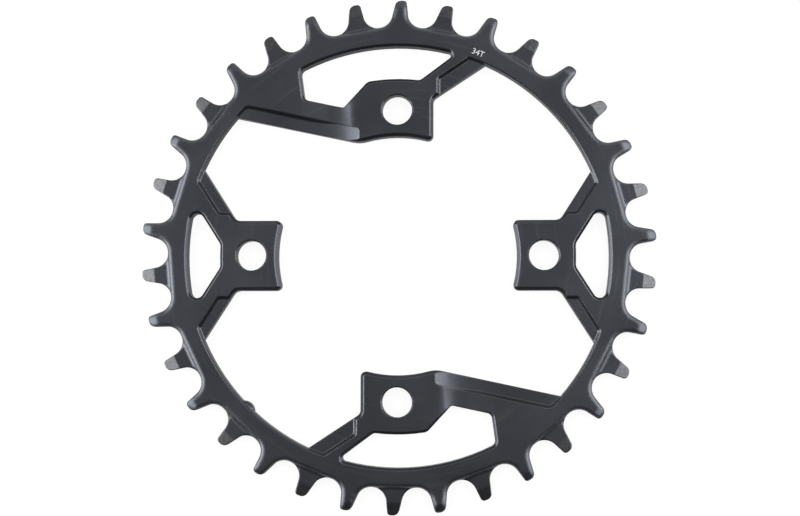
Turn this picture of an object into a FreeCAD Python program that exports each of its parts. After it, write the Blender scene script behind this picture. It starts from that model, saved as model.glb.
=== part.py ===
import FreeCAD, Part
import math
import os

os.makedirs("parts", exist_ok=True)

# Single bicycle chainring with alternating wide and narrow teeth, all sizes in mm.
# The origin is the ring's centre on its back face; +Z points out of the front face,
# +X to the right and +Y up as seen from the front.
# Angles of teeth are counted clockwise from +Y, angles of arm edges from the +X direction.

# Chain and teeth
tooth_count = 34
chain_pitch = 12.7
first_wide_tooth = 0.68
gullet_radius = 4.18
tip_radius = 72.18
driving_flank = 5.8
leaning_flank = 14.0
driving_tip_rounding = 1.0
leaning_tip_rounding = 1.8

# Thicknesses
ring_thickness = 3.9
narrow_tooth_thickness = 2.1

# Bevelled cheeks that make every second tooth wide
cheek_inset = 0.56
cheek_skirt = 0.35
cheek_tip_rounding = 0.3
tip_overrun = 0.6

# Thinned tooth tips
narrow_facet_start = 68.7
narrow_facet_drop = 0.45
wide_facet_start = 70.0
wide_facet_drop = 0.5

# Bolt tabs
bolt_circle = 82.0
bolt_hole = 8.4
bolt_hole_break = 0.3
tab_front = 7.5
tab_back = 8.85
side_tab_half_width = 9.85
upright_tab_edge = 10.15
tab_corner = 1.5
tab_bevel = 0.9

# Ring between the teeth's roots and the openings
long_rim_width = 5.4
short_rim_width = 4.64
side_window_rim_width = 5.5
main_window_rim_width = 5.5
rim_bevel = 0.4

# Arms that carry the tabs
side_arm_angle = 57.5
side_arm_root = 45.45
side_arm_width = 7.22
short_arm_angle = 33.3
short_arm_root = 44.1
short_arm_width = 6.52
long_arm_angle = 11.9
long_arm_end = 10.5
long_arm_width = 8.79
side_arm_fillet = 2.5
short_arm_fillet = 2.0
long_arm_blend = 8.0

# Recessed ledges along the arms
ledge_depth = 0.8
ledge_corner = 1.4
ledge_far_corner = 2.2
side_ledge_width = 3.4
side_ledge_gap = 1.55
short_ledge_width = 4.4
short_ledge_gap = 1.05
long_ledge_width = 4.0
long_ledge_gap = 0.65

# Dip in the face of the two long arms and in their ledges, by distances from the middle
dip_depth = 0.9
dip_start = 27.0
dip_foot = 19.5
dip_bend = 13.5
dip_top = 10.3
ledge_dip_start = 42.0
ledge_dip_foot = 24.0
ledge_dip_top = 9.5

# Windows between ring and tabs
side_window_tip = 1.9
side_window_corner = 2.5
main_window_reach = 26.2
main_window_end_angle = 97.9
main_window_step = 15.15
main_window_step_angle = 47.5
main_window_right_angle = 36.5
main_window_end_corner = 1.7
main_window_low_corner = 1.0
main_window_step_corner = 2.5
main_window_tip = 1.0
window_bevel = 0.7

# Small raised stop on the inner edge of the ring
nub_angle = 224.6
nub_height = 1.0
nub_radius = 3.0
nub_bevel = 0.6
nub_lower = 0.4

# Derived sizes
tooth_angle = 360.0 / tooth_count
half_tooth = math.radians(tooth_angle / 2)
pitch_radius = chain_pitch / (2 * math.sin(half_tooth))
root_radius = pitch_radius - gullet_radius
middle = ring_thickness / 2
narrow_front = middle + narrow_tooth_thickness / 2
overrun = 2.0
tab_inner_radius = bolt_circle / 2 - tab_front
tab_outer_radius = bolt_circle / 2 + tab_back
long_arc_radius = root_radius - long_rim_width
short_arc_radius = root_radius - short_rim_width
side_window_radius = root_radius - side_window_rim_width
main_window_radius = root_radius - main_window_rim_width
web_radius = root_radius - long_rim_width / 2
floor_z = ring_thickness - ledge_depth


def clockwise(angle, distance):
    """Point at a distance from the centre, angle in degrees clockwise from +Y."""
    turn = math.radians(angle)
    return distance * math.sin(turn), distance * math.cos(turn)


def side_crossing(first, second):
    """Point where two sides meet, each side given by its normal's angle and distance."""
    ax, ay = clockwise(first[0], 1.0)
    bx, by = clockwise(second[0], 1.0)
    spread = ax * by - ay * bx
    x = (first[1] * by - second[1] * ay) / spread
    y = (ax * second[1] - bx * first[1]) / spread
    return x, y


def rounded_corner(before, corner, after, radius):
    """Start, middle and end of the arc that rounds one corner of an outline."""
    back = (before - corner).normalize()
    ahead = (after - corner).normalize()
    half = back.getAngle(ahead) / 2
    inward = (back + ahead).normalize()
    centre = corner + inward * (radius / math.sin(half))
    reach = radius / math.tan(half)
    return corner + back * reach, centre - inward * radius, corner + ahead * reach


def rounded_wire(corners, z):
    """Closed outline through corners given as x, y and rounding radius."""
    points = [FreeCAD.Vector(x, y, z) for x, y, radius in corners]
    count = len(points)
    arcs = []
    for i in range(count):
        after = points[(i + 1) % count]
        arcs.append(rounded_corner(points[i - 1], points[i], after, corners[i][2]))
    edges = []
    for i in range(count):
        start, mid, end = arcs[i]
        edges.append(Part.Arc(start, mid, end).toShape())
        edges.append(Part.makeLine(end, arcs[(i + 1) % count][0]))
    return Part.Wire(edges)


def flank_sides(angle, grow):
    """Leaning flank and driving flank of the tooth at this angle, moved out by grow."""
    seat = gullet_radius - grow
    lean = math.radians(leaning_flank)
    drive = math.radians(driving_flank)
    leaning = (angle - 90 + leaning_flank, pitch_radius * math.sin(half_tooth + lean) - seat)
    driving = (angle + 90 - driving_flank, pitch_radius * math.sin(half_tooth + drive) - seat)
    return leaning, driving


def tooth_tip_corners(angle, grow, reach, roundings):
    """The two corners at the tip of a tooth."""
    leaning, driving = flank_sides(angle, grow)
    tip = (angle, reach)
    first = side_crossing(leaning, tip) + (roundings[0],)
    second = side_crossing(tip, driving) + (roundings[1],)
    return [first, second]


def sprocket_corners():
    """Outline of all the teeth, with a chain roller's seat between each two."""
    corners = []
    for i in range(tooth_count):
        angle = first_wide_tooth + i * tooth_angle
        roundings = (leaning_tip_rounding, driving_tip_rounding)
        corners += tooth_tip_corners(angle, 0, tip_radius, roundings)
        driving = flank_sides(angle, 0)[1]
        leaning = flank_sides(angle + tooth_angle, 0)[0]
        corners.append(side_crossing(driving, leaning) + (gullet_radius,))
    return corners


def cheek_corners(grow):
    """Outline of a cheek: the wide teeth, and a straight step below each narrow one."""
    seat = gullet_radius - grow
    corners = []
    for i in range(0, tooth_count, 2):
        angle = first_wide_tooth + i * tooth_angle
        step = (angle + tooth_angle, pitch_radius * math.cos(half_tooth) - seat)
        driving = flank_sides(angle, grow)[1]
        leaning = flank_sides(angle + 2 * tooth_angle, grow)[0]
        reach = tip_radius + tip_overrun
        roundings = (cheek_tip_rounding, cheek_tip_rounding)
        corners += tooth_tip_corners(angle, grow, reach, roundings)
        corners.append(side_crossing(driving, step) + (seat,))
        corners.append(side_crossing(step, leaning) + (seat,))
    return corners


def cheek():
    """Front cheek, widest where it leaves the narrow teeth, and the core behind it."""
    foot = rounded_wire(cheek_corners(cheek_skirt), narrow_front)
    top = rounded_wire(cheek_corners(-cheek_inset), ring_thickness)
    core = Part.Face(foot).extrude(FreeCAD.Vector(0, 0, middle - narrow_front))
    return Part.makeLoft([foot, top], True, True).fuse(core)


def tip_facet(start, drop, height):
    """Ring-shaped cutter that thins the tooth tips on the front, from radius start outward."""
    fall = drop / (tip_radius - start)
    far = tip_radius + overrun
    low = height - fall * (far - start)
    profile = Part.makePolygon([
        FreeCAD.Vector(start, 0, height),
        FreeCAD.Vector(far, 0, low),
        FreeCAD.Vector(far, 0, height + overrun),
        FreeCAD.Vector(start, 0, height + overrun),
        FreeCAD.Vector(start, 0, height),
    ])
    return Part.Face(profile).revolve(FreeCAD.Vector(0, 0, 0), FreeCAD.Vector(0, 0, 1), 360)


def mirrored_to_back(shape):
    """The same shape on the back of the ring."""
    return shape.mirror(FreeCAD.Vector(0, 0, middle), FreeCAD.Vector(0, 0, 1))


def toothed_rim():
    """Teeth and cheeks as one full disc."""
    outline = Part.Face(rounded_wire(sprocket_corners(), 0))
    prism = outline.extrude(FreeCAD.Vector(0, 0, ring_thickness))
    slab = Part.makeCylinder(tip_radius + overrun, narrow_tooth_thickness)
    slab.translate(FreeCAD.Vector(0, 0, narrow_front - narrow_tooth_thickness))
    slab = slab.cut(tip_facet(narrow_facet_start, narrow_facet_drop, narrow_front))
    slab = slab.cut(mirrored_to_back(tip_facet(narrow_facet_start, narrow_facet_drop, narrow_front)))
    front = cheek().cut(tip_facet(wide_facet_start, wide_facet_drop, ring_thickness))
    layers = slab.fuse([front, mirrored_to_back(front)])
    return prism.common(layers)


def disc(radius, low, high):
    """Round plate about the ring's axis."""
    plate = Part.makeCylinder(radius, high - low)
    plate.translate(FreeCAD.Vector(0, 0, low))
    return plate


def block(sides, radius, low, high):
    """Prism between the given sides, kept inside a radius."""
    points = []
    for i in range(len(sides)):
        x, y = side_crossing(sides[i - 1], sides[i])
        points.append(FreeCAD.Vector(x, y, low))
    outline = Part.Face(Part.makePolygon(points + points[:1]))
    return outline.extrude(FreeCAD.Vector(0, 0, high - low)).common(disc(radius, low, high))


def half_turned(shape):
    """Copy of the shape half a turn round the ring."""
    other = shape.copy()
    other.rotate(FreeCAD.Vector(0, 0, 0), FreeCAD.Vector(0, 0, 1), 180)
    return other


def on_circle(side, radius, way):
    """Point where a side meets a circle about the centre."""
    spread = math.degrees(math.acos(side[1] / radius))
    return clockwise(side[0] + way * spread, radius)


def sloped_side(slope, x, y):
    """Side through a point, rising at slope degrees from +X."""
    angle = 180 - slope
    nx, ny = clockwise(angle, 1.0)
    return angle, nx * x + ny * y


def moved(side, distance):
    """The side moved along its normal."""
    return side[0], side[1] + distance


def opposite(side):
    """The side after half a turn round the ring."""
    return side[0], -side[1]


def round_uprights(solid, corners):
    """Round the upright edges nearest to the given corners."""
    for x, y, radius in corners:
        uprights = [e for e in solid.Edges if abs(e.tangentAt(e.FirstParameter).z) > 0.999]
        spot = Part.Vertex(x, y, solid.BoundBox.Center.z)
        nearest = min(uprights, key=lambda e: e.distToShape(spot)[0])
        solid = solid.makeFillet(radius, [nearest])
    return solid


# Sides of the central opening
upright_tab = (90, upright_tab_edge)
side_tab = (0, side_tab_half_width)
short_arm = sloped_side(short_arm_angle, upright_tab_edge, short_arm_root)
long_arm = sloped_side(-long_arm_angle, -long_arm_end, math.sqrt(tab_inner_radius**2 - long_arm_end**2))
right_arm = sloped_side(side_arm_angle, side_arm_root, side_tab_half_width)
left_arm = sloped_side(180 - side_arm_angle, -side_arm_root, side_tab_half_width)
right_limit = (45, tip_radius + overrun)
left_limit = (-45, tip_radius + overrun)
inside_tab = (90, -long_arm_end / 2)


def opening_half():
    """Upper half of the opening inside the ring, from the left tab to the right one."""
    low = -overrun
    high = ring_thickness + overrun
    hub = disc(tab_inner_radius, low, high)
    right = block([upright_tab, short_arm, right_limit, right_arm, side_tab], long_arc_radius, low, high)
    left = block([side_tab, left_arm, left_limit, long_arm, inside_tab], short_arc_radius, low, high)
    opening = hub.fuse([right, left]).removeSplitter()
    corners = [
        on_circle(upright_tab, tab_inner_radius, -1) + (tab_corner,),
        side_crossing(upright_tab, short_arm) + (short_arm_fillet,),
        side_crossing(right_arm, side_tab) + (side_arm_fillet,),
        on_circle(side_tab, tab_inner_radius, 1) + (tab_corner,),
        on_circle(side_tab, tab_inner_radius, -1) + (tab_corner,),
        side_crossing(left_arm, side_tab) + (side_arm_fillet,),
        on_circle(long_arm, tab_inner_radius, 1) + (long_arm_blend,),
    ]
    return round_uprights(opening, corners)


def side_window():
    """Window between the ring and the right tab."""
    low = -overrun
    high = ring_thickness + overrun
    upper = moved(right_arm, side_arm_width)
    lower = moved(opposite(left_arm), side_arm_width)
    window = block([upper, (90, tip_radius), lower], side_window_radius, low, high)
    window = window.cut(disc(tab_outer_radius, low, high))
    corners = [
        on_circle(upper, side_window_radius, -1) + (side_window_tip,),
        on_circle(lower, side_window_radius, 1) + (side_window_tip,),
        on_circle(upper, tab_outer_radius, -1) + (side_window_corner,),
        on_circle(lower, tab_outer_radius, 1) + (side_window_corner,),
    ]
    return round_uprights(window, corners)


def main_window():
    """Window between the ring, the upper tab and its two arms."""
    low = -overrun
    high = ring_thickness + overrun
    floor = moved(long_arm, -long_arm_width)
    outer_foot = side_crossing(floor, (90, -main_window_reach))
    inner_foot = side_crossing(floor, (90, -main_window_step))
    end = sloped_side(main_window_end_angle, *outer_foot)
    step = sloped_side(main_window_step_angle, *inner_foot)
    across = clockwise(short_arm[0], short_arm_width)
    right = sloped_side(main_window_right_angle, upright_tab_edge - across[0], short_arm_root - across[1])
    top = (0, tip_radius)
    left_part = block([end, floor, step, top], main_window_radius, low, high)
    right_part = block([(90, -main_window_step), right, top], main_window_radius, low, high)
    right_part = right_part.cut(disc(tab_outer_radius, low, high))
    window = left_part.fuse(right_part).removeSplitter()
    corners = [
        on_circle(end, main_window_radius, -1) + (main_window_end_corner,),
        outer_foot + (main_window_end_corner,),
        inner_foot + (main_window_low_corner,),
        on_circle(step, tab_outer_radius, -1) + (main_window_step_corner,),
        on_circle(right, tab_outer_radius, -1) + (main_window_end_corner,),
        on_circle(right, main_window_radius, -1) + (main_window_tip,),
    ]
    return round_uprights(window, corners)


def bolt_holes():
    """The four bolt holes, one through each tab."""
    holes = []
    for i in range(4):
        x, y = clockwise(90 * i, bolt_circle / 2)
        start = FreeCAD.Vector(x, y, -overrun)
        holes.append(Part.makeCylinder(bolt_hole / 2, ring_thickness + 2 * overrun, start))
    return holes


def rim_edges(body):
    """Edge loops round the openings in the front face, from the largest to the smallest."""
    face = max([f for f in body.Faces if f.BoundBox.ZMin > ring_thickness - 1e-6], key=lambda f: f.Area)
    loops = sorted(face.Wires, key=lambda wire: -wire.BoundBox.DiagonalLength)
    return [loop.Edges for loop in loops[1:]]


def along_ring(edge):
    """Whether an edge of the central opening runs along the ring."""
    return min(math.hypot(v.X, v.Y) for v in edge.Vertexes) > long_arc_radius - tab_bevel


def plain_web():
    """Flat plate with the four tabs, the windows and the holes, bevelled on the front."""
    openings = [opening_half(), side_window(), main_window()]
    openings += [half_turned(shape) for shape in openings]
    web = disc(web_radius, 0, ring_thickness).cut(openings + bolt_holes())
    web = web.makeChamfer(tab_bevel, [e for e in rim_edges(web)[0] if not along_ring(e)])
    web = web.makeChamfer(rim_bevel, [e for e in rim_edges(web)[0] if along_ring(e)])
    windows = rim_edges(web)[1:5]
    web = web.makeChamfer(window_bevel, sum(windows, []))
    holes = rim_edges(web)[5:9]
    return web.makeChamfer(bolt_hole_break, sum(holes, []))


def ledge_cutter(sides, radius, corners):
    """Cutter with sloping walls that sinks a ledge into the front of the arms."""
    cutter = round_uprights(block(sides, radius, floor_z, ring_thickness + overrun), corners)
    bottom = [e for e in cutter.Edges if e.BoundBox.ZMax < floor_z + ledge_depth / 2]
    return cutter.makeChamfer(ledge_depth, bottom)


def right_ledges():
    """Ledges from the upper tab's short arm to the right tab's upper arm."""
    beside_tab = moved(upright_tab, short_ledge_gap)
    above_tab = moved(side_tab, side_ledge_gap)
    short = moved(short_arm, -short_ledge_width)
    right = moved(right_arm, side_ledge_width)
    radius = long_arc_radius + rim_bevel
    corners = [
        side_crossing(beside_tab, short) + (ledge_corner,),
        on_circle(short, radius, -1) + (ledge_corner,),
        on_circle(right, radius, -1) + (ledge_corner,),
        side_crossing(right, above_tab) + (ledge_corner,),
    ]
    return ledge_cutter([beside_tab, short, right_limit, right, above_tab], radius, corners)


def dip_profile(surface, start, foot, bend, top):
    """Cutter over a long arm that ramps down from start to its foot, then scoops up to the tab."""
    low = surface - dip_depth
    slope = 2 * math.atan((ring_thickness - low) / (foot - top))
    hollow = (foot - bend) / math.sin(slope)
    crest = (bend - top) / math.sin(slope)
    across = math.sin(slope / 2)
    sag = 1 - math.cos(slope / 2)
    points = [
        FreeCAD.Vector(-tip_radius, 0, surface),
        FreeCAD.Vector(-start, 0, surface),
        FreeCAD.Vector(-foot, 0, low),
        FreeCAD.Vector(-foot + hollow * across, 0, low + hollow * sag),
        FreeCAD.Vector(-bend, 0, low + hollow * (1 - math.cos(slope))),
        FreeCAD.Vector(-top - crest * across, 0, ring_thickness - crest * sag),
        FreeCAD.Vector(-top, 0, ring_thickness),
        FreeCAD.Vector(-top, 0, ring_thickness + overrun),
        FreeCAD.Vector(-tip_radius, 0, ring_thickness + overrun),
    ]
    edges = [
        Part.makeLine(points[0], points[1]),
        Part.makeLine(points[1], points[2]),
        Part.Arc(points[2], points[3], points[4]).toShape(),
        Part.Arc(points[4], points[5], points[6]).toShape(),
        Part.makeLine(points[6], points[7]),
        Part.makeLine(points[7], points[8]),
        Part.makeLine(points[8], points[0]),
    ]
    return Part.Face(Part.Wire(edges)).extrude(FreeCAD.Vector(0, tab_outer_radius, 0))


def left_ledges():
    """Ledges from the left tab's upper arm to the upper tab's long arm, which dips."""
    above_tab = moved(side_tab, side_ledge_gap)
    left = moved(left_arm, -side_ledge_width)
    long = moved(long_arm, -long_ledge_width)
    beside_tab = moved(opposite(upright_tab), -long_ledge_gap)
    radius = short_arc_radius + rim_bevel
    corners = [
        side_crossing(above_tab, left) + (ledge_corner,),
        on_circle(left, radius, -1) + (ledge_corner,),
        on_circle(long, radius, 1) + (ledge_far_corner,),
        side_crossing(long, beside_tab) + (ledge_corner,),
    ]
    ledge = ledge_cutter([above_tab, left, left_limit, long, beside_tab], radius, corners)
    tilt = math.degrees(math.atan2(dip_depth, ledge_dip_start - ledge_dip_foot))
    tilted = ledge.copy()
    tilted.rotate(FreeCAD.Vector(-ledge_dip_start, 0, ring_thickness), FreeCAD.Vector(0, 1, 0), tilt)
    arm_face = dip_profile(ring_thickness, dip_start, dip_foot, dip_bend, dip_top)
    ledge_dip_bend = upright_tab_edge + long_ledge_gap
    ledge_face = dip_profile(floor_z, ledge_dip_start, ledge_dip_foot, ledge_dip_bend, ledge_dip_top)
    level_corner = FreeCAD.Vector(-ledge_dip_start - tip_radius, 0, 0)
    level = Part.makeBox(tip_radius, tip_radius, ring_thickness, level_corner)
    return [ledge.common(level), tilted.common(ledge_face), arm_face]


def nub():
    """Small rounded stop on the inner edge of the ring."""
    x, y = clockwise(nub_angle, long_arc_radius - nub_height + nub_radius)
    height = ring_thickness - nub_lower
    stop = Part.makeCylinder(nub_radius, height, FreeCAD.Vector(x, y, 0))
    front_rim = [e for e in stop.Edges if e.BoundBox.ZMin > height - 1e-6]
    return stop.makeChamfer(nub_bevel, front_rim).common(disc(web_radius, 0, height))


def chainring():
    """The whole ring as one solid."""
    cutters = [right_ledges()] + left_ledges()
    web = plain_web()
    for cutter in cutters:
        web = web.cut(cutter).cut(half_turned(cutter))
    web = web.fuse(nub())
    rim = toothed_rim().cut(disc(web_radius, -overrun, ring_thickness + overrun))
    return rim.fuse(web).removeSplitter()


ring = chainring().Solids[0]
ring.exportStep("parts/chainring.step")
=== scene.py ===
import math
import bpy
from mathutils import Matrix, Vector


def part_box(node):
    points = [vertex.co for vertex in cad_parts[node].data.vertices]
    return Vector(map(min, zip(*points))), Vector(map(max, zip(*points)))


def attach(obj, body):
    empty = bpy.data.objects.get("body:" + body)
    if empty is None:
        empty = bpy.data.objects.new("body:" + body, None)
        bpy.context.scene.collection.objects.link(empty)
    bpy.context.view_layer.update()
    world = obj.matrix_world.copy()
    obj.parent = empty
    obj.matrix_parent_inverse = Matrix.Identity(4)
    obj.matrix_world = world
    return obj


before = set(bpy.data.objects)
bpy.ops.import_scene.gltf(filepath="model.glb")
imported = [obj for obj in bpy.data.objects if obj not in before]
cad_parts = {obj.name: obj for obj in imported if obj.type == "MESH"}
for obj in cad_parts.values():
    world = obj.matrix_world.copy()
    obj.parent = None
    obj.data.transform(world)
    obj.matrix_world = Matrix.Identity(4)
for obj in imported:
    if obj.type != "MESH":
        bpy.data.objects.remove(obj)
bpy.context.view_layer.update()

# A black anodised chainring lying on a white table, seen from above.
# Lengths are in metres, in the frame of the solid: the ring's back face lies at z = 0,
# +X is to the right and +Y up as seen from the front.
MM = 0.001

# The photograph's frame and the place of the camera
SENSOR_WIDTH_MM = 36.0
CAMERA_DISTANCE = 0.400
LEAN_RIGHT = math.radians(2.80)
LEAN_DOWN = math.radians(3.70)
CAMERA_ROLL = math.radians(0.05)
LENS_MM = 64.33
AIM = Vector((0.82 * MM, -0.73 * MM, 3.0 * MM))

# Light
WORLD_COLOUR = (0.97, 0.985, 1.0)
WORLD_STRENGTH = 0.04
LAMP_DISTANCE = 1.0

# Ring: the angle of the first wide tooth is clockwise from +Y
RING_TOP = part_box("chainring")[1].z
TEETH = 34.0
FIRST_WIDE_TOOTH = math.radians(0.68)
NARROW_TIPS_START = 67.5 * MM
BOLT_RADIUS = 41.0 * MM
BOLT_HOLE_EDGE = (5.8 * MM, 6.4 * MM)
TOOTHED_EDGE = (61.8 * MM, 62.8 * MM)
TOOTH_ROOTS = (65.0 * MM, 66.0 * MM)

# Roundness of the edges on a scale, and the two radii that the ends of the scale stand for
CRISPEST = -0.35
ROUNDEST = 1.0
EDGE_RADII = (0.10 * MM, 1.45 * MM)
BOLT_HOLE_ROUNDNESS = -0.30
TOOTHED_ROUNDNESS = 0.9
NARROW_TO_WIDE_ROUNDNESS = (-0.9, 0.1)

# Colours; where a finish has two, its speckle or clouds go from the first to the second
DYE = (0.090, 0.096, 0.111), (0.106, 0.113, 0.129)
# Turning streaks: lathe marks painted lighter, a painted highlight standing in for their reflections
TURNING_STREAK_HIGHLIGHT = (0.20, 0.21, 0.225)
ROUGH_TIPS = (0.094, 0.097, 0.104), (0.132, 0.135, 0.142)
# Edge colour: wear plus a painted sheen that makes the edges' highlight lines brighter
WORN_EDGE_AND_SHEEN = (0.172, 0.180, 0.195)
# Side walls: a much darker colour that is painted shade on the steep walls
SHADED_SIDE_WALLS = (0.030, 0.032, 0.037), (0.044, 0.047, 0.053)
INK = (0.55, 0.56, 0.58), (0.74, 0.75, 0.77)
TABLE = (0.15, 0.15, 0.15), (0.16, 0.16, 0.16)
TABLE_GLOW = 0.89

# Size mark on the ring's face
MARK_TEXT = "34T"
MARK_HEIGHT = 1.65 * MM
CAPITALS_IN_FONT_SIZE = 0.72
MARK_RADIUS = 61.3 * MM
MARK_ANGLE = math.radians(21.8)
MARK_THICKNESS = 0.02 * MM

# Table top
TABLE_HALF_WIDTH = 10.0
TABLE_GAP = 0.05 * MM


def new_group(name, inputs, outputs):
    """Shader node group with named number inputs, each with its value, and named number outputs."""
    group = bpy.data.node_groups.new(name, "ShaderNodeTree")
    for label, value in inputs.items():
        socket = group.interface.new_socket(label, in_out="INPUT", socket_type="NodeSocketFloat")
        socket.default_value = value
    for label in outputs:
        group.interface.new_socket(label, in_out="OUTPUT", socket_type="NodeSocketFloat")
    source = group.nodes.new("NodeGroupInput")
    sink = group.nodes.new("NodeGroupOutput")
    return group, source, sink


def math_node(tree, operation, *values):
    """Math node whose inputs are numbers or sockets; gives its output."""
    node = tree.nodes.new("ShaderNodeMath")
    node.operation = operation
    for slot, value in enumerate(values):
        if isinstance(value, (int, float)):
            node.inputs[slot].default_value = value
        else:
            tree.links.new(value, node.inputs[slot])
    return node.outputs[0]


def noise(tree, vector, scale, detail, roughness=0.5):
    """Noise texture read at a vector; gives its grey value."""
    node = tree.nodes.new("ShaderNodeTexNoise")
    node.inputs["Scale"].default_value = scale
    node.inputs["Detail"].default_value = detail
    node.inputs["Roughness"].default_value = roughness
    tree.links.new(vector, node.inputs["Vector"])
    return node.outputs["Fac"]


def remap(tree, value, span, to=(0.0, 1.0)):
    """Map Range node that takes a span of the value to another span; gives its output."""
    node = tree.nodes.new("ShaderNodeMapRange")
    for label, number in zip(("From Min", "From Max", "To Min", "To Max"), span + to):
        node.inputs[label].default_value = number
    tree.links.new(value, node.inputs["Value"])
    return node.outputs["Result"]


def object_place(tree):
    """Place of the shaded point in the ring's frame, as three outputs X, Y and Z."""
    place = tree.nodes.new("ShaderNodeTexCoord")
    split = tree.nodes.new("ShaderNodeSeparateXYZ")
    tree.links.new(place.outputs["Object"], split.inputs[0])
    return split.outputs


def hypotenuse(tree, first, second):
    """Length of the long side of a right triangle."""
    squares = [math_node(tree, "MULTIPLY", side, side) for side in (first, second)]
    return math_node(tree, "SQRT", math_node(tree, "ADD", *squares))


def blasted_grain():
    """Fine grain of a blasted metal surface, coarser speckle and slow clouds in its tone."""
    group, source, sink = new_group("blasted_grain", {"Scale": 1.0}, ("Height", "Speckle", "Cloud"))
    place = group.nodes.new("ShaderNodeTexCoord")
    scaled = group.nodes.new("ShaderNodeVectorMath")
    scaled.operation = "SCALE"
    group.links.new(place.outputs["Object"], scaled.inputs[0])
    group.links.new(source.outputs["Scale"], scaled.inputs["Scale"])
    for label, scale, detail in (("Height", 3200.0, 2.0), ("Speckle", 1500.0, 2.0), ("Cloud", 55.0, 4.0)):
        group.links.new(noise(group, scaled.outputs[0], scale, detail), sink.inputs[label])
    return group


def turning_lines():
    """Faint concentric lines that a lathe leaves round the ring's axis, broken along the way."""
    group, source, sink = new_group("turning_lines", {"Spacing": 900.0, "Breaks": 3.0}, ("Lines",))
    place = object_place(group)
    outward = hypotenuse(group, place["X"], place["Y"])
    around = math_node(group, "ARCTAN2", place["Y"], place["X"])
    spiral = group.nodes.new("ShaderNodeCombineXYZ")
    group.links.new(math_node(group, "MULTIPLY", outward, source.outputs["Spacing"]), spiral.inputs["X"])
    group.links.new(math_node(group, "MULTIPLY", around, source.outputs["Breaks"]), spiral.inputs["Y"])
    group.links.new(noise(group, spiral.outputs[0], 1.0, 3.0, 0.6), sink.inputs["Lines"])
    return group


def toothing(tree, place, teeth, turn):
    """Wave round the ring, 1 at the middle of each wide tooth and -1 at that of each narrow one."""
    around = math_node(tree, "ARCTAN2", place["X"], place["Y"])
    turned = math_node(tree, "SUBTRACT", around, turn)
    pairs = math_node(tree, "MULTIPLY", teeth, 0.5)
    return math_node(tree, "COSINE", math_node(tree, "MULTIPLY", turned, pairs))


def from_nearest_bolt(tree, place, bolt_radius):
    """Distance from the axis of the nearest bolt, whose four axes lie on X and Y."""
    x_size = math_node(tree, "ABSOLUTE", place["X"])
    y_size = math_node(tree, "ABSOLUTE", place["Y"])
    along = math_node(tree, "SUBTRACT", math_node(tree, "MAXIMUM", x_size, y_size), bolt_radius)
    across = math_node(tree, "MINIMUM", x_size, y_size)
    return hypotenuse(tree, along, across)


def ring_masks():
    """Masks from the surface's slope and place: steep walls, thinned narrow tips, roundness of edges."""
    inputs = {
        "Tip Radius": NARROW_TIPS_START,
        "Teeth": TEETH,
        "Turn": FIRST_WIDE_TOOTH,
        "Bolt Radius": BOLT_RADIUS,
    }
    group, source, sink = new_group("ring_masks", inputs, ("Steep", "Tips", "Rounded"))
    surface = group.nodes.new("ShaderNodeNewGeometry")
    split = group.nodes.new("ShaderNodeSeparateXYZ")
    group.links.new(surface.outputs["True Normal"], split.inputs[0])
    level = math_node(group, "ABSOLUTE", split.outputs["Z"])
    group.links.new(remap(group, level, (0.35, 0.60), (1.0, 0.0)), sink.inputs["Steep"])

    place = object_place(group)
    outward = hypotenuse(group, place["X"], place["Y"])
    wave = toothing(group, place, source.outputs["Teeth"], source.outputs["Turn"])
    between_teeth = (-0.12, 0.12)
    narrow = remap(group, wave, between_teeth, (1.0, 0.0))
    tilted = math_node(group, "LESS_THAN", level, 0.998)
    outside = math_node(group, "GREATER_THAN", outward, source.outputs["Tip Radius"])
    tips = math_node(group, "MULTIPLY", math_node(group, "MULTIPLY", tilted, outside), narrow)
    group.links.new(tips, sink.inputs["Tips"])

    toothed = remap(group, outward, TOOTHED_EDGE, (0.0, TOOTHED_ROUNDNESS))
    by_tooth = remap(group, wave, between_teeth, NARROW_TO_WIDE_ROUNDNESS)
    beyond_roots = math_node(group, "MULTIPLY", by_tooth, remap(group, outward, TOOTH_ROOTS))
    from_bolt = from_nearest_bolt(group, place, source.outputs["Bolt Radius"])
    at_holes = remap(group, from_bolt, BOLT_HOLE_EDGE, (BOLT_HOLE_ROUNDNESS, 0.0))
    rounded = math_node(group, "ADD", math_node(group, "ADD", toothed, beyond_roots), at_holes)
    group.links.new(rounded, sink.inputs["Rounded"])
    return group


def place_group(tree, group, **values):
    """Group node in a material with its own values."""
    node = tree.nodes.new("ShaderNodeGroup")
    node.node_tree = group
    for label, value in values.items():
        node.inputs[label].default_value = value
    return node


def new_material(name):
    """Material with a Principled shader; gives material, node tree and shader."""
    material = bpy.data.materials.new(name)
    material.use_nodes = True
    tree = material.node_tree
    return material, tree, tree.nodes["Principled BSDF"]


def mix_colours(tree, factor, first, second):
    """Mix node between two colours, each a tuple or a socket, by a mask; gives its output."""
    node = tree.nodes.new("ShaderNodeMix")
    node.data_type = "RGBA"
    tree.links.new(factor, node.inputs["Factor"])
    colour_a, colour_b = node.inputs[6], node.inputs[7]
    for socket, colour in ((colour_a, first), (colour_b, second)):
        if isinstance(colour, tuple):
            socket.default_value = colour + (1.0,)
        else:
            tree.links.new(colour, socket)
    return node.outputs[2]


def worn_edges_and_sheen(tree, rounded_normal, speckle):
    """Mask of the edges, where handling has thinned the dye and a painted sheen brightens the edges'
    highlight lines; it breaks up with the speckle.
    """
    surface = tree.nodes.new("ShaderNodeNewGeometry")
    turn = tree.nodes.new("ShaderNodeVectorMath")
    turn.operation = "DOT_PRODUCT"
    tree.links.new(rounded_normal, turn.inputs[0])
    tree.links.new(surface.outputs["True Normal"], turn.inputs[1])
    edge = remap(tree, turn.outputs["Value"], (0.90, 0.99), (1.0, 0.0))
    shoulder = remap(tree, turn.outputs["Value"], (0.76, 0.85))
    worn_and_sheen = math_node(tree, "MULTIPLY", edge, shoulder)
    return math_node(tree, "MULTIPLY", worn_and_sheen, remap(tree, speckle, (0.0, 1.0), (0.75, 1.0)))


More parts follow.
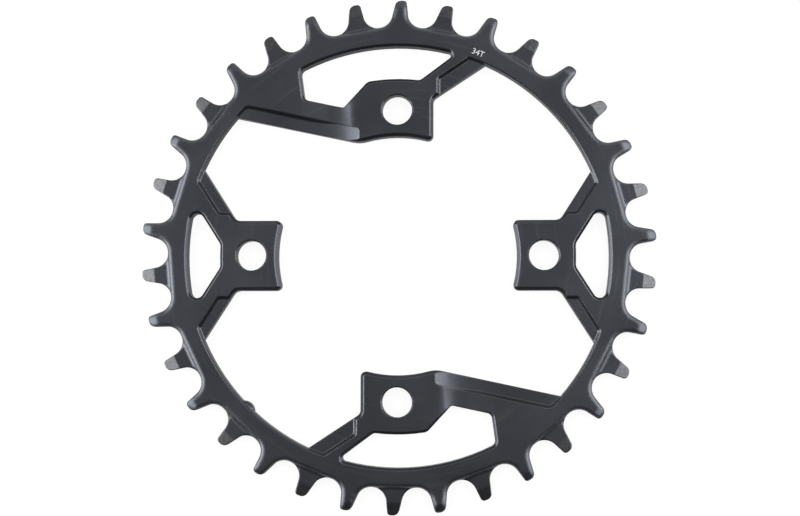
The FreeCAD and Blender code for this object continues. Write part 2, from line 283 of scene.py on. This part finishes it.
def anodised_colour(tree, grain, lines, masks, rounded_normal):
    """Colour of the dyed metal: clouds, turning streaks painted lighter as a highlight, rough tips, worn
    edges with a painted sheen, and side walls painted darker as shade.
    """
    colour = mix_colours(tree, remap(tree, grain["Cloud"], (0.35, 0.65)), *DYE)
    # Painted highlight: the lathe's streaks are painted lighter than the dye, in place of their
    # reflections
    streak_highlight = remap(tree, lines["Lines"], (0.58, 0.76), (0.0, 0.42))
    colour = mix_colours(tree, streak_highlight, colour, TURNING_STREAK_HIGHLIGHT)
    speckle = remap(tree, grain["Speckle"], (0.35, 0.65))
    colour = mix_colours(tree, masks["Tips"], colour, mix_colours(tree, speckle, *ROUGH_TIPS))
    # Edges painted lighter: thinned dye plus a painted sheen on the highlight lines
    colour = mix_colours(tree, worn_edges_and_sheen(tree, rounded_normal, speckle), colour, WORN_EDGE_AND_SHEEN)
    # Painted shade: the steep side walls get a much darker colour than the faces
    return mix_colours(tree, masks["Steep"], colour, mix_colours(tree, speckle, *SHADED_SIDE_WALLS))


def black_anodising(grain_group, line_group, mask_group):
    """Satin black anodised aluminium with soft edges and fine grain; its side walls are matt and painted
    darker as shade.
    """
    material, tree, shader = new_material("black_anodised_aluminium")
    grain = place_group(tree, grain_group, Scale=1.0).outputs
    lines = place_group(tree, line_group, Spacing=900.0, Breaks=2.5).outputs
    masks = place_group(tree, mask_group).outputs
    soft = tree.nodes.new("ShaderNodeBevel")
    soft.samples = 6
    width = remap(tree, masks["Rounded"], (CRISPEST, ROUNDEST), EDGE_RADII)
    tree.links.new(width, soft.inputs["Radius"])
    rounded_normal = soft.outputs["Normal"]
    colour = anodised_colour(tree, grain, lines, masks, rounded_normal)
    tree.links.new(colour, shader.inputs["Base Color"])
    metal = remap(tree, masks["Steep"], (0.0, 1.0), (0.92, 0.0))
    tree.links.new(metal, shader.inputs["Metallic"])
    shader.inputs["Specular IOR Level"].default_value = 0.012
    rough = remap(tree, grain["Cloud"], (0.3, 0.7), (0.21, 0.25))
    tree.links.new(rough, shader.inputs["Roughness"])
    bump = tree.nodes.new("ShaderNodeBump")
    bump.inputs["Strength"].default_value = 0.12
    bump.inputs["Distance"].default_value = 0.01 * MM
    tree.links.new(grain["Height"], bump.inputs["Height"])
    tree.links.new(rounded_normal, bump.inputs["Normal"])
    tree.links.new(bump.outputs["Normal"], shader.inputs["Normal"])
    return material


def mark_ink(grain_group):
    """Thin white print, a little worn where the grain below it stands out."""
    material, tree, shader = new_material("white_mark_ink")
    grain = place_group(tree, grain_group, Scale=1.6).outputs
    kept = remap(tree, grain["Height"], (0.35, 0.65))
    tree.links.new(mix_colours(tree, kept, *INK), shader.inputs["Base Color"])
    shader.inputs["Roughness"].default_value = 0.55
    return material


def table_top(grain_group):
    """White table: it shows as white to the camera and in the metal, and keeps the ring's shadow."""
    material, tree, shader = new_material("white_table")
    grain = place_group(tree, grain_group, Scale=0.2).outputs
    shade = remap(tree, grain["Cloud"], (0.3, 0.7))
    tree.links.new(mix_colours(tree, shade, *TABLE), shader.inputs["Base Color"])
    shader.inputs["Roughness"].default_value = 0.9
    shader.inputs["Specular IOR Level"].default_value = 0.0
    path = tree.nodes.new("ShaderNodeLightPath")
    seen = math_node(tree, "MAXIMUM", path.outputs["Is Camera Ray"], path.outputs["Is Glossy Ray"])
    seen = math_node(tree, "MAXIMUM", seen, path.outputs["Is Transmission Ray"])
    shader.inputs["Emission Color"].default_value = (1.0, 1.0, 1.0, 1.0)
    tree.links.new(math_node(tree, "MULTIPLY", seen, TABLE_GLOW), shader.inputs["Emission Strength"])
    return material


def dress_ring(material):
    """Give the solid ring its finish."""
    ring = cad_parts["chainring"]
    ring.data.materials.clear()
    ring.data.materials.append(material)


def put_in_scene(name, data):
    """Object with the given name and data, linked to the scene."""
    thing = bpy.data.objects.new(name, data)
    bpy.context.scene.collection.objects.link(thing)
    return thing


def size_mark(material):
    """The number of teeth, printed along the ring beside the upper tab."""
    curve = bpy.data.curves.new("size_mark", "FONT")
    curve.body = MARK_TEXT
    curve.size = MARK_HEIGHT / CAPITALS_IN_FONT_SIZE
    curve.align_x = "CENTER"
    curve.align_y = "CENTER"
    curve.extrude = MARK_THICKNESS / 2
    curve.materials.append(material)
    mark = put_in_scene("size_mark", curve)
    x = MARK_RADIUS * math.sin(MARK_ANGLE)
    y = MARK_RADIUS * math.cos(MARK_ANGLE)
    turn = Matrix.Rotation(-MARK_ANGLE, 4, "Z")
    mark.matrix_world = Matrix.Translation((x, y, RING_TOP)) @ turn
    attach(mark, "root")


def table(material):
    """Large plain table top just under the ring."""
    half = TABLE_HALF_WIDTH
    mesh = bpy.data.meshes.new("table")
    corners = [(-half, -half, 0), (half, -half, 0), (half, half, 0), (-half, half, 0)]
    mesh.from_pydata(corners, [], [(0, 1, 2, 3)])
    mesh.materials.append(material)
    floor = put_in_scene("table", mesh)
    floor.location.z = -TABLE_GAP


def softbox(name, tilt, heading, width, height, radiance):
    """Soft lamp that faces the ring, tilt degrees from straight above towards a heading from +X."""
    lamp = bpy.data.lights.new(name, "AREA")
    lamp.shape = "RECTANGLE"
    lamp.size = width
    lamp.size_y = height
    lamp.energy = radiance * math.pi * width * height
    holder = put_in_scene(name, lamp)
    tilt = math.radians(tilt)
    heading = math.radians(heading)
    sideways = math.sin(tilt)
    away = Vector((sideways * math.cos(heading), sideways * math.sin(heading), math.cos(tilt)))
    along = Vector((-math.sin(heading), math.cos(heading), 0))
    upward = away.cross(along)
    turn = Matrix((along, upward, away)).transposed().to_4x4()
    holder.matrix_world = Matrix.Translation(away * LAMP_DISTANCE) @ turn


def studio_light():
    """Large softboxes left and right, a low one at the right, weak ones above and behind, a dim room."""
    softbox("left_softbox", tilt=56, heading=179, width=0.92, height=1.18, radiance=3.6)
    softbox("right_softbox", tilt=42, heading=8, width=0.92, height=0.85, radiance=3.1)
    softbox("top_softbox", tilt=9, heading=90, width=0.7, height=0.7, radiance=0.30)
    softbox("upper_softbox", tilt=52, heading=88, width=1.4, height=0.8, radiance=0.62)
    softbox("low_right_softbox", tilt=77, heading=4, width=0.80, height=0.40, radiance=1.5)
    softbox("rear_wall_glow", tilt=76, heading=80, width=3.2, height=0.46, radiance=0.16)
    world = bpy.data.worlds.new("studio")
    world.use_nodes = True
    back = world.node_tree.nodes["Background"]
    back.inputs["Color"].default_value = WORLD_COLOUR + (1.0,)
    back.inputs["Strength"].default_value = WORLD_STRENGTH
    bpy.context.scene.world = world


def camera():
    """Camera above the ring, a little to the right and below its centre."""
    lens = bpy.data.cameras.new("camera")
    lens.sensor_fit = "HORIZONTAL"
    lens.sensor_width = SENSOR_WIDTH_MM
    lens.lens = LENS_MM
    lens.clip_start = 0.01
    lens.clip_end = 100.0
    holder = put_in_scene("camera", lens)
    rightward = math.sin(LEAN_RIGHT) * math.cos(LEAN_DOWN)
    upward = math.cos(LEAN_RIGHT) * math.cos(LEAN_DOWN)
    out = Vector((rightward, -math.sin(LEAN_DOWN), upward))
    right = Vector((0, 1, 0)).cross(out).normalized()
    level = Matrix((right, out.cross(right), out)).transposed().to_4x4()
    roll = Matrix.Rotation(CAMERA_ROLL, 4, "Z")
    holder.matrix_world = Matrix.Translation(AIM + out * CAMERA_DISTANCE) @ level @ roll
    bpy.context.scene.camera = holder


grain_group = blasted_grain()
dress_ring(black_anodising(grain_group, turning_lines(), ring_masks()))
size_mark(mark_ink(grain_group))
table(table_top(grain_group))
studio_light()
camera()
bpy.context.scene.view_settings.view_transform = "Standard"
